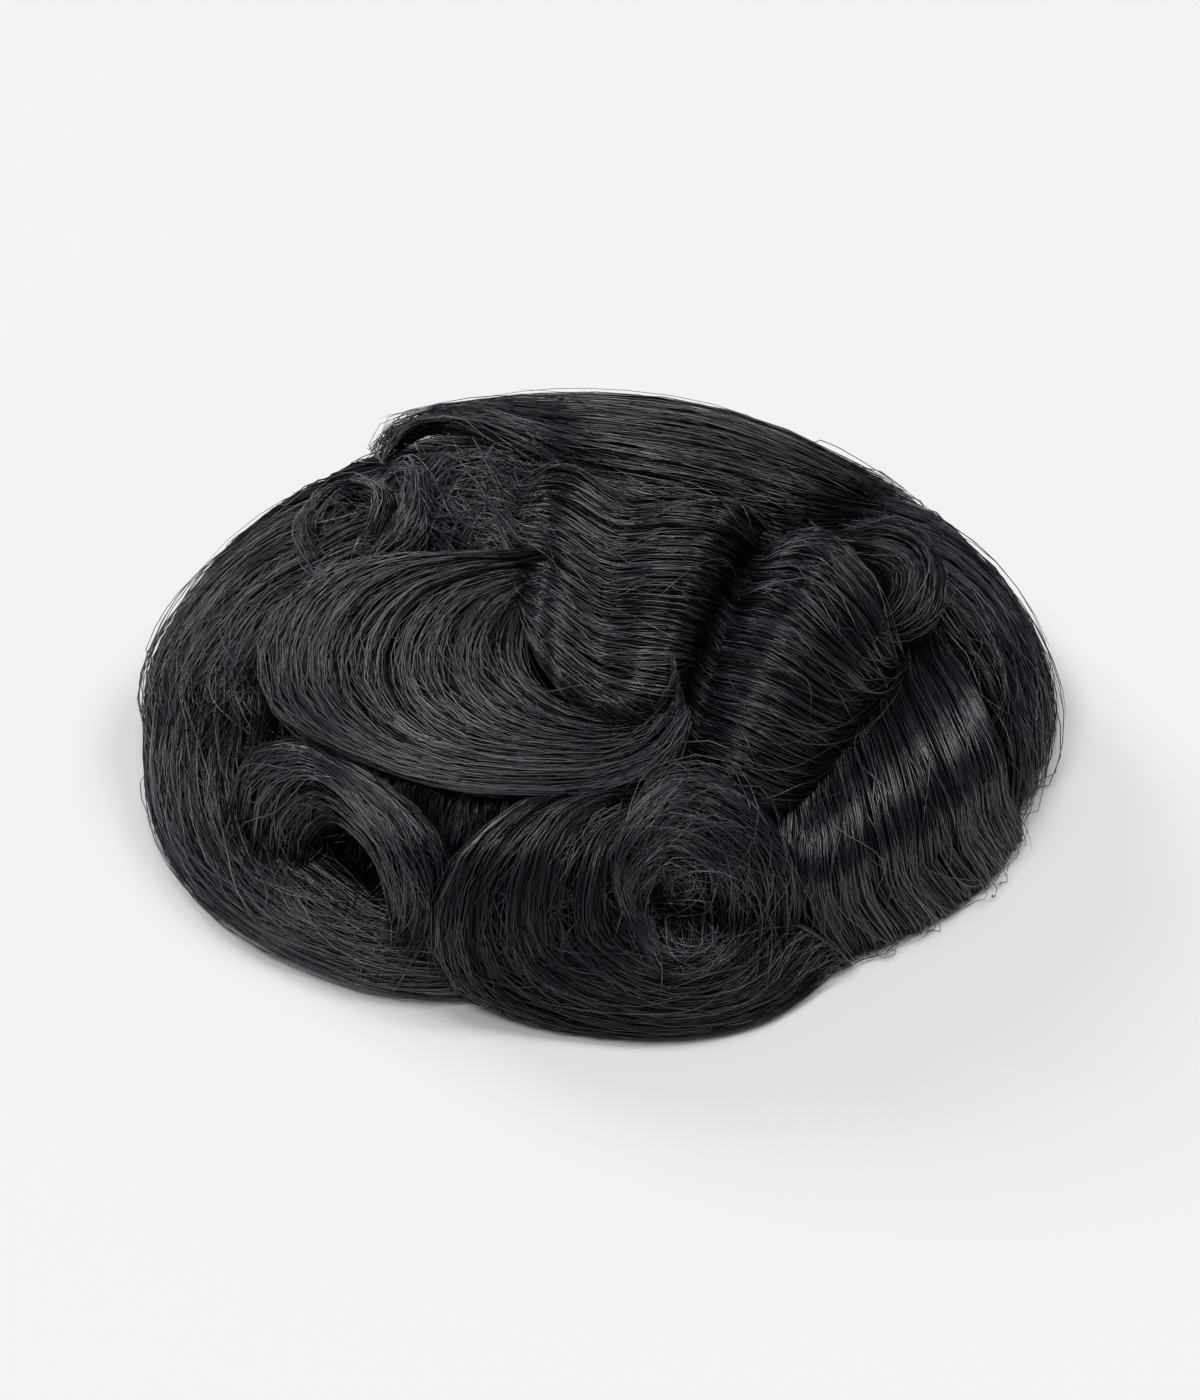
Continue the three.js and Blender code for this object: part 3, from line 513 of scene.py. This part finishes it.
def loose_hairs(lock, style, sizes, covers, seed):
    """Centrelines of the single hairs that stand out of a lock, thinner and curlier than the rest."""
    rng = np.random.default_rng(seed + LOOSE_SEED)
    count = style["loose"]
    s = np.linspace(0, 1, LOOSE_POINTS)[None, :]
    start = rng.uniform(-style["ends"][0], 0.7, count)[:, None]
    t = np.minimum(start + rng.uniform(0.3, 1.0, count)[:, None] * s, 1 + 1.5 * style["ends"][1])
    wander = style["wander"] * smooth_noise(rng, count, s, (0.35, 0.8))
    hook = style["wander"] * rng.normal(0, 2.5, count)[:, None] * np.maximum(s - 0.6, 0) ** 2 * 4
    u = rng.uniform(0.0, 1.0, count)[:, None] + wander + hook
    x, y, rise, _ = laid_rise(lock, t, u, sizes.hair_depth, covers)
    lift = rng.uniform(0.0, 1.0, count)[:, None] ** 3 * sizes.loose_lift * np.sin(math.pi * (0.1 + 0.8 * s))
    tip = rng.uniform(0.0, 1.0, count)[:, None] ** 5 * sizes.loose_lift * s ** 3
    place = dome_points(x, y, np.maximum(rise + LOOSE_RISE + lift + tip, UNDER_RISE))
    taper = np.clip(np.minimum(6 * s, 3 * (1 - s)) + 0.3, 0, 1)
    radius = 0.5 * sizes.loose_width * rng.uniform(0.7, 1.3, count)[:, None] * taper
    # Light tints, partly the hairs' own colour and partly painted highlight where thin hairs catch the light.
    return place, radius, rng.uniform(*LOOSE_TINTS, count)[:, None] + 0 * s


def strand_group():
    """Node group that turns polylines into closed tapered tubes."""
    tree = bpy.data.node_groups.new("Hair strands", "GeometryNodeTree")
    face = tree.interface
    face.new_socket("Geometry", in_out="INPUT", socket_type="NodeSocketGeometry")
    sides = face.new_socket("Sides", in_out="INPUT", socket_type="NodeSocketInt")
    thick = face.new_socket("Thickness", in_out="INPUT", socket_type="NodeSocketFloat")
    cover = face.new_socket("Material", in_out="INPUT", socket_type="NodeSocketMaterial")
    face.new_socket("Geometry", in_out="OUTPUT", socket_type="NodeSocketGeometry")
    sides.default_value, thick.default_value = STRAND_SIDES, 1.0

    def node(kind, links=(), **settings):
        made = tree.nodes.new(kind)
        for key, value in settings.items():
            setattr(made, key, value)
        for name, value in links:
            if hasattr(value, "links"):
                tree.links.new(value, made.inputs[name])
            else:
                made.inputs[name].default_value = value
        return made

    given = node("NodeGroupInput").outputs
    curve = node("GeometryNodeMeshToCurve", [("Mesh", given["Geometry"])])
    radius = node("GeometryNodeInputNamedAttribute", [("Name", "radius")], data_type="FLOAT")
    size = node("ShaderNodeMath", [(0, radius.outputs["Attribute"]), (1, given["Thickness"])],
                operation="MULTIPLY")
    ring = node("GeometryNodeCurvePrimitiveCircle", [("Resolution", given["Sides"]), ("Radius", 1.0)])
    round_ring = node("GeometryNodeCaptureAttribute", [("Geometry", ring.outputs["Curve"])], domain="POINT")
    round_ring.capture_items.new("FLOAT", "Side")
    place = node("GeometryNodeSplineParameter")
    tree.links.new(place.outputs["Factor"], round_ring.inputs["Side"])
    tube = node("GeometryNodeCurveToMesh", [
        ("Curve", curve.outputs["Curve"]), ("Profile Curve", round_ring.outputs["Geometry"]),
        ("Scale", size.outputs["Value"]), ("Fill Caps", True)])
    tint = node("GeometryNodeInputNamedAttribute", [("Name", "tint")], data_type="FLOAT")
    along = node("GeometryNodeInputNamedAttribute", [("Name", "along")], data_type="FLOAT")
    beside = node("ShaderNodeMath", [(0, round_ring.outputs["Side"]), (1, 0.004),
                                     (2, tint.outputs["Attribute"])], operation="MULTIPLY_ADD")
    where = node("ShaderNodeCombineXYZ", [("X", beside.outputs["Value"]), ("Y", along.outputs["Attribute"])])
    mapped = node("GeometryNodeStoreNamedAttribute", [
        ("Geometry", tube.outputs["Mesh"]), ("Name", "OFBake"), ("Value", where.outputs["Vector"])],
        data_type="FLOAT2", domain="CORNER")
    smooth = node("GeometryNodeSetShadeSmooth", [("Geometry", mapped.outputs["Geometry"])])
    whole = node("GeometryNodeRealizeInstances", [("Geometry", smooth.outputs["Geometry"])])
    covered = node("GeometryNodeSetMaterial", [
        ("Geometry", whole.outputs["Geometry"]), ("Material", given["Material"])])
    node("NodeGroupOutput", [("Geometry", covered.outputs["Geometry"])])
    return tree, {"sides": sides.identifier, "thickness": thick.identifier, "material": cover.identifier}


def linked(name, data):
    """New object for the data, in the scene."""
    made = bpy.data.objects.new(name, data)
    bpy.context.collection.objects.link(made)
    return made


def polyline_mesh(name, place, radius, tint):
    """Mesh of loose polylines with the radius, tint and place along each strand on its points."""
    count, points = place.shape[:2]
    mesh = bpy.data.meshes.new(name)
    mesh.vertices.add(count * points)
    mesh.vertices.foreach_set("co", place.reshape(-1).astype(np.float32))
    first = (np.arange(count)[:, None] * points + np.arange(points - 1)[None, :]).reshape(-1)
    mesh.edges.add(len(first))
    mesh.edges.foreach_set("vertices", np.stack([first, first + 1], -1).reshape(-1).astype(np.int32))
    shares = np.broadcast_to(np.linspace(0.01, 0.99, points)[None, :], (count, points))
    along = MAP_SPLIT + (1 - MAP_SPLIT) * shares
    for key, values in (("radius", radius), ("tint", 0.99 * tint), ("along", along)):
        mesh.attributes.new(key, "FLOAT", "POINT").data.foreach_set(
            "value", np.ascontiguousarray(values, np.float32).reshape(-1))
    mesh.update()
    return mesh


def plain_mesh(obj):
    """The object's evaluated mesh as a new mesh of its own."""
    graph = bpy.context.evaluated_depsgraph_get()
    return bpy.data.meshes.new_from_object(obj.evaluated_get(graph))


def strand_tubes(name, strands, material):
    """Closed tubes round the strands, as a plain mesh."""
    tree, sockets = strand_group()
    holder = linked(name + "_lines", polyline_mesh(name + "_lines", *strands))
    modifier = holder.modifiers.new("Strands", "NODES")
    modifier.node_group = tree
    modifier[sockets["sides"]] = STRAND_SIDES
    modifier[sockets["thickness"]] = 1.0
    modifier[sockets["material"]] = material
    mesh = plain_mesh(holder)
    bpy.data.objects.remove(holder)
    return mesh


def body_mesh(name, points, faces, uv, material):
    """Smooth mesh with a place on the texture map for each of its points."""
    mesh = bpy.data.meshes.new(name)
    mesh.from_pydata(points.tolist(), [], faces)
    corner = np.array([v for face in faces for v in face])
    mesh.uv_layers.new(name="OFBake").data.foreach_set("uv", uv[corner].astype(np.float32).reshape(-1))
    mesh.polygons.foreach_set("use_smooth", np.ones(len(mesh.polygons), bool))
    mesh.materials.append(material)
    mesh.update()
    return mesh


def slab_mesh(name, upper, lower, uv, material):
    """Closed body between two grids of points, with a map from the grid's own shares."""
    rows, columns = upper.shape[:2]
    points = np.concatenate([upper.reshape(-1, 3), lower.reshape(-1, 3)])
    index = np.arange(rows * columns).reshape(rows, columns)
    under = index + rows * columns
    quads = [np.stack([index[:-1, :-1], index[1:, :-1], index[1:, 1:], index[:-1, 1:]], -1).reshape(-1, 4),
             np.stack([under[:-1, :-1], under[:-1, 1:], under[1:, 1:], under[1:, :-1]], -1).reshape(-1, 4)]
    for a, b in ((index[:, 0], under[:, 0]), (index[-1], under[-1]), (index[::-1, -1], under[::-1, -1]),
                 (index[0, ::-1], under[0, ::-1])):
        quads.append(np.stack([a[:-1], b[:-1], b[1:], a[1:]], -1))
    quads = np.concatenate(quads)
    corners = points[quads]
    volume = np.einsum("ij,ij->", corners[:, 0], np.cross(corners[:, 1], corners[:, 2])) \
        + np.einsum("ij,ij->", corners[:, 0], np.cross(corners[:, 2], corners[:, 3]))
    if volume < 0:
        quads = quads[:, ::-1]
    return body_mesh(name, points, quads.tolist(), np.concatenate([uv.reshape(-1, 2)] * 2), material)


def joined(name, meshes):
    """One object at the origin from several meshes."""
    objects = [linked(name, mesh) for mesh in meshes]
    with bpy.context.temp_override(active_object=objects[0], selected_editable_objects=objects,
                                   selected_objects=objects):
        bpy.ops.object.join()
    objects[0].name = name
    return objects[0]


class Maths:
    """A shader socket whose arithmetic adds Math nodes."""

    def __init__(self, tree, socket):
        self.tree, self.socket = tree, socket

    def _math(self, operation, *values):
        return self.tree.node("ShaderNodeMath", list(enumerate(values)), operation=operation)["Value"]

    def __add__(self, other): return self._math("ADD", self, other)
    def __sub__(self, other): return self._math("SUBTRACT", self, other)
    def __rsub__(self, other): return self._math("SUBTRACT", other, self)
    def __mul__(self, other): return self._math("MULTIPLY", self, other)
    __radd__, __rmul__ = __add__, __mul__


class Shade:
    """A material's node tree."""

    def __init__(self, name):
        self.material = bpy.data.materials.new(name)
        self.material.use_nodes = True
        self.tree = self.material.node_tree
        self.tree.nodes.clear()

    def node(self, kind, values=(), ramp=None, **settings):
        """Adds a node: its settings, then the values or links of its sockets. Gives its outputs by name."""
        made = self.tree.nodes.new(kind)
        for key, value in settings.items():
            setattr(made, key, value)
        if ramp:
            while len(made.color_ramp.elements) < len(ramp):
                made.color_ramp.elements.new(0.5)
            for element, (at, colour) in zip(made.color_ramp.elements, ramp):
                element.position, element.color = at, (*colour, 1.0)
        for name, value in (values.items() if isinstance(values, dict) else values):
            if isinstance(value, Maths):
                self.tree.links.new(value.socket, made.inputs[name])
            else:
                made.inputs[name].default_value = value
        return {s.name: Maths(self, s) for s in reversed(list(made.outputs))}

    def finish(self, **sockets):
        shader = self.node("ShaderNodeBsdfPrincipled", {k.replace("_", " "): v for k, v in sockets.items()})
        self.node("ShaderNodeOutputMaterial", {"Surface": shader["BSDF"]})
        return self.material


def linear(colour):
    """Linear colour from the 0 to 255 numbers that a picture shows."""
    return tuple(((c / 255 + 0.055) / 1.055) ** 2.4 if c > 10 else c / 255 / 12.92 for c in colour)


def strand_material(colours):
    """Hair strands: near black with grey and a few brown hairs among them, the lighter ones glossier."""
    shade = Shade("hair_strands")
    place = shade.node("ShaderNodeUVMap", uv_map="OFBake")["UV"]
    kind = shade.node("ShaderNodeSeparateXYZ", {"Vector": place})["X"]
    colour = shade.node("ShaderNodeValToRGB", {"Fac": kind}, ramp=[
        (0.0, linear(colours.hair_dark)), (0.45, linear(colours.hair_main)),
        (0.85, linear(colours.hair_light)), (1.0, linear(colours.hair_brown))])["Color"]
    gloss = shade.node("ShaderNodeMapRange", {"Value": kind, "From Min": 0.06, "From Max": 0.8})["Result"]
    return shade.finish(Base_Color=colour, Roughness=0.5 - 0.15 * kind, Specular_IOR_Level=0.12,
                        Coat_Weight=gloss, Coat_Roughness=0.3, Coat_IOR=2.0, Coat_Tint=GLOSS_TINT,
                        Specular_Tint=GLOSS_TINT)


def body_material(colours):
    """Hair mass under the top strands: dark, with fine streaks along the lock."""
    shade = Shade("hair_mass")
    place = shade.node("ShaderNodeUVMap", uv_map="OFBake")["UV"]
    stretched = shade.node("ShaderNodeMapping", {"Vector": place, "Scale": (320.0, 3.0, 1.0)})["Vector"]
    streak = shade.node("ShaderNodeTexNoise", {"Vector": stretched, "Scale": 1.0, "Detail": 3.0})["Fac"]
    colour = shade.node("ShaderNodeValToRGB", {"Fac": streak}, ramp=[
        (0.3, linear(colours.hair_dark)), (0.7, linear(colours.hair_main))])["Color"]
    gloss = shade.node("ShaderNodeMapRange", {
        "Value": streak, "From Min": 0.5, "From Max": 0.75, "To Max": 0.3})["Result"]
    bump = shade.node("ShaderNodeBump", {"Height": streak, "Strength": 0.8, "Distance": 0.0006})["Normal"]
    return shade.finish(Base_Color=colour, Roughness=0.7, Normal=bump, Specular_IOR_Level=0.05,
                        Coat_Weight=gloss, Coat_Roughness=0.3, Coat_IOR=2.0, Coat_Tint=GLOSS_TINT)


def cap_material():
    """Thin base: fine dark net over the crown and a smooth skin band round the rim."""
    shade = Shade("cap_base")
    place = shade.node("ShaderNodeTexCoord")["Object"]
    mapped = shade.node("ShaderNodeUVMap", uv_map="OFBake")["UV"]
    reach = shade.node("ShaderNodeSeparateXYZ", {"Vector": mapped})["Y"]
    band = shade.node("ShaderNodeMapRange", {
        "Value": reach, "From Min": CAP_BAND, "From Max": CAP_BAND + CAP_BAND_EDGE})["Result"]
    edge = shade.node("ShaderNodeTexVoronoi", {"Vector": place, "Scale": CAP_NET}, feature="DISTANCE_TO_EDGE")
    hole = shade.node("ShaderNodeMapRange", {
        "Value": edge["Distance"], "From Min": 0.06, "From Max": 0.16})["Result"]
    net = shade.node("ShaderNodeValToRGB", {"Fac": hole}, ramp=[
        (0.0, (0.03, 0.02, 0.016)), (1.0, (0.004, 0.004, 0.005))])["Color"]
    tone = shade.node("ShaderNodeTexNoise", {"Vector": place, "Scale": 90.0, "Detail": 3.0})["Fac"]
    skin = shade.node("ShaderNodeValToRGB", {"Fac": tone}, ramp=[
        (0.3, (0.06, 0.042, 0.033)), (0.7, (0.10, 0.073, 0.058))])["Color"]
    colour = shade.node("ShaderNodeMix", [(0, band), (6, net), (7, skin)], data_type="RGBA")["Result"]
    lift = (1 - hole) * (1 - band) + 0.3 * tone
    bump = shade.node("ShaderNodeBump", {"Height": lift, "Strength": 0.5, "Distance": 0.0003})["Normal"]
    return shade.finish(Base_Color=colour, Roughness=0.75 - 0.35 * band, Normal=bump)


def floor_material(colours):
    """Plain matt studio floor."""
    shade = Shade("studio_floor")
    place = shade.node("ShaderNodeTexCoord")["Object"]
    grain = shade.node("ShaderNodeTexNoise", {"Vector": place, "Scale": 60.0, "Detail": 2.0})["Fac"]
    return shade.finish(Base_Color=(*linear(colours.floor), 1.0), Roughness=0.85 + 0.05 * grain)


def hair_looks(colours):
    """The materials of the strands and of the mass under them."""
    return (bpy.data.materials.get("hair_strands") or strand_material(colours),
            bpy.data.materials.get("hair_mass") or body_material(colours))


def comb_locks(names, context):
    """Makes the named locks, each as one piece in place of its solid."""
    sizes = context.scene.hairpiece_sizes
    strand_look, body_look = hair_looks(context.scene.hairpiece_colours)
    top, owner = hair_map(sizes.hair_depth)
    for name in names:
        lock, style, rank = LOCKS[name], COMBING[name], list(LOCKS).index(name)
        wide = np.minimum(blurred(top, 30), top + style["bridge"]) - BRIDGE_SAG
        covers = top, wide, blurred((owner < rank) * 1.0, 5), blurred((owner > rank) * 1.0, 5)
        tubes = [strand_tubes(name, lines(lock, style, sizes, covers, sizes.seed + rank), strand_look)
                 for lines in (lock_strands, loose_hairs)]
        first, last, near, far = MASS_SPAN.get(name, WHOLE_SPAN)
        t, u = np.meshgrid(np.linspace(first, last, MASS_GRID[0]), np.linspace(near, far, MASS_GRID[1]),
                           indexing="ij")
        x, y, rise, low = laid_rise(lock, t, u, sizes.hair_depth, covers)
        upper = dome_points(x, y, np.maximum(rise - sizes.mass_depth, low + MASS_EDGE))
        lower = dome_points(x, y, low - MASS_SINK)
        body = slab_mesh(name + "_mass", upper, lower, np.stack([u, 0.46 * t + 0.02], -1), body_look)
        piece = joined(name + "_combed", [body, *tubes])
        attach(piece, "root")
        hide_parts(name)
    return {"FINISHED"}


def metres(name, text, default):
    """Property for a length in metres."""
    return FloatProperty(name=name, description=text, default=default, subtype="DISTANCE", unit="LENGTH",
                         precision=6)


class HairpieceSizes(bpy.types.PropertyGroup):
    """Sizes of the combed hair."""

    hair_depth: metres("Hair depth", "Rise of a full lock above the cap", 0.024)
    strand_width: metres("Strand width", "Thickness of a drawn strand", 0.00036)
    loose_width: metres("Loose hair width", "Thickness of a single loose hair", 0.00028)
    loose_lift: metres("Loose hair lift", "How far loose hairs stand off their lock", 0.004)
    strand_layer: metres("Strand layer", "Depth over which the strands of a lock lie", 0.0022)
    mass_depth: metres("Mass depth", "Depth of the dark mass under the top strands", 0.0016)
    seed: IntProperty(name="Seed", description="Start of the random draws", default=11)


class HairpieceColours(bpy.types.PropertyGroup):
    """Colours as a picture shows them, from 0 to 255."""

    hair_main: FloatVectorProperty(name="Hair", description="Most of the hair", default=(9, 9, 13), size=3)
    hair_light: FloatVectorProperty(name="Light hair", description="Top hairs", default=(32, 33, 42), size=3)
    hair_dark: FloatVectorProperty(name="Dark hair", description="Darkest hairs", default=(3, 3, 5), size=3)
    hair_brown: FloatVectorProperty(
        name="Brown hair", description="Warmest hairs", default=(80, 71, 62), size=3)
    floor: FloatVectorProperty(name="Floor", description="Studio floor", default=(243, 243, 243), size=3)


class HAIRPIECE_OT_cap(bpy.types.Operator):
    """Makes the thin net cap with its smooth rim band"""

    bl_idname = "hairpiece.cap"
    bl_label = "Cap base"

    def execute(self, context):
        mesh = dome_shell("base_cap_net", lambda x, y: np.full(x.shape, -CAP_SINK), -CAP_THICK,
                          cap_material(), rings=40, sectors=120)
        piece = joined("base_cap_net", [mesh])
        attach(piece, "root")
        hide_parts("base_cap")
        return {"FINISHED"}


class HAIRPIECE_OT_under_hair(bpy.types.Operator):
    """Covers the cap with short flat hair"""

    bl_idname = "hairpiece.under_hair"
    bl_label = "Under hair"

    def execute(self, context):
        sizes = context.scene.hairpiece_sizes
        strand_look, body_look = hair_looks(context.scene.hairpiece_colours)
        rng = np.random.default_rng(sizes.seed + UNDER_SEED)
        top, owner = hair_map(sizes.hair_depth)
        bare = blurred((owner == len(LOCKS)) * 1.0, 3)
        cell = np.linspace(-MAP_HALF, MAP_HALF, MAP_CELLS)
        near = np.zeros_like(top)
        for x, y, reach in FILLED_GAPS:
            away = np.hypot(cell[:, None] - x, cell[None, :] - y) / reach
            near = np.maximum(near, np.clip(1.5 - away, 0, 1))
        full = np.where(owner == len(LOCKS), blurred(top, 40), top - 2 * DIVE)
        filled = UNDER_RISE + near * blurred(np.maximum(full - UNDER_RISE, 0), 3)
        x0, y0 = rng.uniform(-UNDER_REACH, UNDER_REACH, (2, UNDER_DRAWS))
        chance = np.where(np.hypot(x0, y0) < UNDER_REACH, 0.02 + read_map(bare * (0.5 + near), x0, y0), 0)
        chosen = np.nonzero(rng.uniform(0, 1, x0.size) < chance)[0][:UNDER_STRANDS]
        x0, y0, count = x0[chosen][:, None], y0[chosen][:, None], len(chosen)
        s = np.linspace(0, 1, UNDER_POINTS)[None, :]
        turn = np.arctan2(y0, x0) + rng.normal(0, 0.15, count)[:, None]
        length = rng.uniform(0.06, 0.14, count)[:, None] * s
        x, y = x0 + np.cos(turn) * length, y0 + np.sin(turn) * length
        rise = read_map(filled, x, y) + UNDER_SINK - 2 * UNDER_SINK * rng.uniform(0, 1, count)[:, None]
        place = dome_points(x, y, np.maximum(rise, UNDER_RISE - UNDER_SINK))
        taper = np.clip(np.minimum(6 * s, 3.5 * (1 - s)) + 0.25, 0, 1)
        radius = 0.5 * sizes.strand_width * rng.uniform(0.7, 1.15, count)[:, None] * taper
        tint = rng.uniform(0.1, 1.0, count)[:, None] ** 0.5 * 0.95 + 0 * s
        tubes = strand_tubes("under_hair", (place, radius, tint), strand_look)
        body = dome_shell("under_hair_mass", lambda x, y: read_map(filled, x, y) - 0.0006, 0.0004, body_look,
                          rings=48, sectors=120)
        piece = joined("under_hair_combed", [body, tubes])
        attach(piece, "root")
        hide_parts("under_hair")
        return {"FINISHED"}


def dome_shell(name, outer, inner, material, rings, sectors):
    """Closed shell over the whole cap between two rises, the outer one a function of the dome map."""
    radius = np.linspace(0, 1, rings + 1)[1:]
    turn = np.linspace(0, 2 * math.pi, sectors, endpoint=False)
    x, y = radius[:, None] * np.cos(turn), radius[:, None] * np.sin(turn)
    points, faces = [], []
    for rise in (outer, lambda x, y: np.full(x.shape, inner)):
        points.append(dome_points(np.zeros(1), np.zeros(1), rise(np.zeros(1), np.zeros(1))))
        points.append(dome_points(x, y, rise(x, y)).reshape(-1, 3))
    points = np.concatenate(points)
    half = len(points) // 2
    on = lambda ring, sector: 1 + ring * sectors + sector % sectors
    for j in range(sectors):
        faces.append((0, on(0, j), on(0, j + 1)))
        faces.append((half, half + on(0, j + 1), half + on(0, j)))
        for i in range(rings - 1):
            faces.append((on(i, j), on(i + 1, j), on(i + 1, j + 1), on(i, j + 1)))
            faces.append((half + on(i, j), half + on(i, j + 1), half + on(i + 1, j + 1), half + on(i + 1, j)))
        last = rings - 1
        faces.append((on(last, j + 1), on(last, j), half + on(last, j), half + on(last, j + 1)))
    turns = np.concatenate([[0.0], np.tile(np.arange(sectors) / sectors, rings)] * 2)
    reach = np.concatenate([[0.0], np.repeat(radius, sectors)] * 2)
    return body_mesh(name, points, faces, np.stack([turns, 0.48 * reach + 0.005], -1), material)


def lock_operator(key, label, text, names):
    """Operator class that combs a group of locks."""
    def execute(self, context):
        return comb_locks(names, context)
    return type("HAIRPIECE_OT_" + key, (bpy.types.Operator,), {
        "__doc__": text, "bl_idname": "hairpiece." + key, "bl_label": label, "execute": execute})


GROUPS = [
    ("crown", "Crown locks", "Combs the swirl and the waves on the crown",
     ["crown_swirl", "centre_wave", "right_wave", "right_hook"]),
    ("crown_curls", "Crown curls", "Curls the small locks behind the swirl",
     ["left_ringlet", "crown_ringlet", "crown_tuft"]),
    ("front", "Front curls", "Curls the locks along the front edge",
     ["front_curl_core", "front_curl", "left_front_curl", "left_front_fall"]),
    ("sides", "Side locks", "Combs the locks down both sides",
     ["left_side_wave", "right_fall", "right_rear_fall"]),
    ("back", "Back locks", "Combs the crest and the plain hair down the back",
     ["back_crest", "back_left_fall", "back_right_fall"]),
]
LOCK_OPERATORS = [lock_operator(*group) for group in GROUPS]


class HAIRPIECE_OT_stage(bpy.types.Operator):
    """Lays the floor, hangs the lights and sets the camera"""

    bl_idname = "hairpiece.stage"
    bl_label = "Stage"

    def execute(self, context):
        colours = context.scene.hairpiece_colours
        size = 6.0
        corners = [(-size, -size, 0), (size, -size, 0), (size, size, 0), (-size, size, 0)]
        mesh = bpy.data.meshes.new("floor")
        mesh.from_pydata(corners, [], [(0, 1, 2, 3)])
        mesh.materials.append(floor_material(colours))
        floor = linked("floor", mesh)

        target = Vector((*DOME_MIDDLE, CAMERA_AIM))
        angle = math.radians(CAMERA_ELEVATION)
        back = Vector((0, -math.cos(angle), math.sin(angle)))
        lens = bpy.data.cameras.new("camera")
        lens.lens, lens.sensor_width = 85.0, 36.0
        camera = linked("camera", lens)
        camera.location = target + back * CAMERA_DISTANCE
        camera.rotation_euler = (-back).to_track_quat("-Z", "Y").to_euler()
        context.scene.camera = camera

        for name, towards, spread, power in LIGHTS:
            lamp = bpy.data.lights.new(name, "SUN")
            lamp.angle, lamp.energy = math.radians(spread), power
            hung = linked(name, lamp)
            hung.rotation_euler = (-Vector(towards)).to_track_quat("-Z", "Y").to_euler()
            hung.location = target + Vector(towards)

        world = context.scene.world or bpy.data.worlds.new("world")
        context.scene.world = world
        world.use_nodes = True
        sky = world.node_tree.nodes["Background"]
        sky.inputs["Color"].default_value = (1.0, 1.0, 1.0, 1.0)
        sky.inputs["Strength"].default_value = WORLD_STRENGTH
        context.scene.view_settings.view_transform = "Standard"
        return {"FINISHED"}


class HAIRPIECE_PT_panel(bpy.types.Panel):
    """Hairpiece builder"""

    bl_idname = "HAIRPIECE_PT_panel"
    bl_label = "Hairpiece"
    bl_space_type = "VIEW_3D"
    bl_region_type = "UI"
    bl_category = "Hairpiece"

    def draw(self, context):
        for group in (context.scene.hairpiece_sizes, context.scene.hairpiece_colours):
            for key in group.__annotations__:
                self.layout.prop(group, key)
        for operator in OPERATORS:
            self.layout.operator(operator.bl_idname)


OPERATORS = [HAIRPIECE_OT_cap, HAIRPIECE_OT_under_hair, *LOCK_OPERATORS, HAIRPIECE_OT_stage]
CLASSES = [HairpieceSizes, HairpieceColours, *OPERATORS, HAIRPIECE_PT_panel]


def register():
    for cls in CLASSES:
        bpy.utils.register_class(cls)
    bpy.types.Scene.hairpiece_sizes = PointerProperty(type=HairpieceSizes)
    bpy.types.Scene.hairpiece_colours = PointerProperty(type=HairpieceColours)


def unregister():
    del bpy.types.Scene.hairpiece_colours
    del bpy.types.Scene.hairpiece_sizes
    for cls in reversed(CLASSES):
        bpy.utils.unregister_class(cls)


def main():
    register()
    for operator in OPERATORS:
        group, name = operator.bl_idname.split(".")
        getattr(getattr(bpy.ops, group), name)()


if __name__ == "__main__":
    main()
